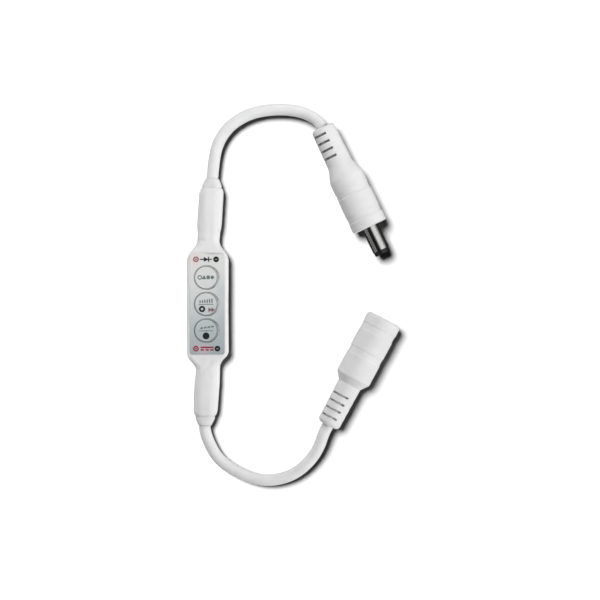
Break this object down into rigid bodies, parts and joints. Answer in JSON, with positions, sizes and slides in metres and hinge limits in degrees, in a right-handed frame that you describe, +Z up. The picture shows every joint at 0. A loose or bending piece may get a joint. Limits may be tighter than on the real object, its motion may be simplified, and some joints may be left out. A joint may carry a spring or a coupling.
{
  "type": "inline led dimmer",
  "caption": "Slim in-line dimmer in a white shrink sleeve with round push keys on a silver label, and a short cable at each end to a barrel plug and a barrel socket.",
  "frame": {"origin": "centre of the sleeve's flat underside, which rests on the table", "axes": "+Z up through the key face, +Y along the sleeve towards the output cable and its plug, +X to the side on which the plug and the socket lie"},
  "size_m": [0.0679, 0.123, 0.0116],
  "materials": {
    "sleeve_white": "white heat-shrunk tube, satin",
    "inner_sleeve_white": "white heat-shrunk tube, satin",
    "label_silver": "silver printed film, satin",
    "key_silver": "silver printed film, satin",
    "cable_white": "soft PVC jacket, satin",
    "moulding_white": "soft PVC moulding, satin gloss",
    "inner_moulding": "natural polyethylene, as moulded",
    "board_green": "glass-fibre board with green solder mask",
    "case_black": "black moulding compound",
    "capacitor_tan": "fired ceramic",
    "resistor_black": "ceramic with black glaze",
    "tinned": "bright tin plate",
    "solder": "bright tin solder",
    "dome_steel": "stamped stainless steel",
    "contact_gold": "thin gold plate over copper",
    "spacer_film": "clear polyester film",
    "core_red": "red PVC",
    "core_black": "black PVC",
    "barrel_nickel": "turned brass, bright nickel plate",
    "contact_nickel": "phosphor bronze, nickel plate",
    "insulator_black": "black nylon",
    "insert_black": "black nylon",
    "pin_nickel": "turned brass, bright nickel plate",
    "spring_nickel": "nickel-plated spring steel"
  },
  "bodies": {
    "housing": {"shrink_sleeve": "sleeve_white", "face_label": "label_silver", "snap_dome_lower": "dome_steel", "snap_dome_middle": "dome_steel", "snap_dome_upper": "dome_steel", "dome_contacts": "contact_gold", "dome_spacer": "spacer_film", "circuit_board": "board_green", "control_chip": "case_black", "chip_leads": "tinned", "power_transistor": "case_black", "transistor_leads": "tinned", "voltage_regulator": "case_black", "regulator_leads": "tinned", "chip_capacitors": "capacitor_tan", "chip_resistors": "resistor_black", "solder_joints": "solder", "output_core_red": "core_red", "output_core_black": "core_black", "input_core_red": "core_red", "input_core_black": "core_black", "output_jacket_end": "cable_white", "input_jacket_end": "cable_white", "output_inner_sleeve": "inner_sleeve_white", "input_inner_sleeve": "inner_sleeve_white", "output_cable": "cable_white", "input_cable": "cable_white", "plug_overmould": "moulding_white", "plug_core_mould": "inner_moulding", "plug_cable_end": "cable_white", "plug_core_red": "core_red", "plug_core_black": "core_black", "plug_barrel": "barrel_nickel", "plug_insulator": "insulator_black", "plug_contact": "contact_nickel", "socket_overmould": "moulding_white", "socket_core_mould": "inner_moulding", "socket_cable_end": "cable_white", "socket_core_red": "core_red", "socket_core_black": "core_black", "socket_insert": "insert_black", "socket_pin": "pin_nickel", "socket_spring": "spring_nickel"},
    "key_lower": {"key_lower": "key_silver"},
    "key_middle": {"key_middle": "key_silver"},
    "key_upper": {"key_upper": "key_silver"}
  },
  "joints": [
    {"name": "key_lower_press", "type": "slide", "parent": "housing", "child": "key_lower", "axis": [0, 0, -1], "range_m": [0, 0.0003], "stiffness_N_per_m": 1500, "springref_m": -0.0008, "deforming": ["snap_dome_lower"]},
    {"name": "key_middle_press", "type": "slide", "parent": "housing", "child": "key_middle", "axis": [0, 0, -1], "range_m": [0, 0.0003], "stiffness_N_per_m": 1500, "springref_m": -0.0008, "deforming": ["snap_dome_middle"]},
    {"name": "key_upper_press", "type": "slide", "parent": "housing", "child": "key_upper", "axis": [0, 0, -1], "range_m": [0, 0.0003], "stiffness_N_per_m": 1500, "springref_m": -0.0008, "deforming": ["snap_dome_upper"]}
  ]
}
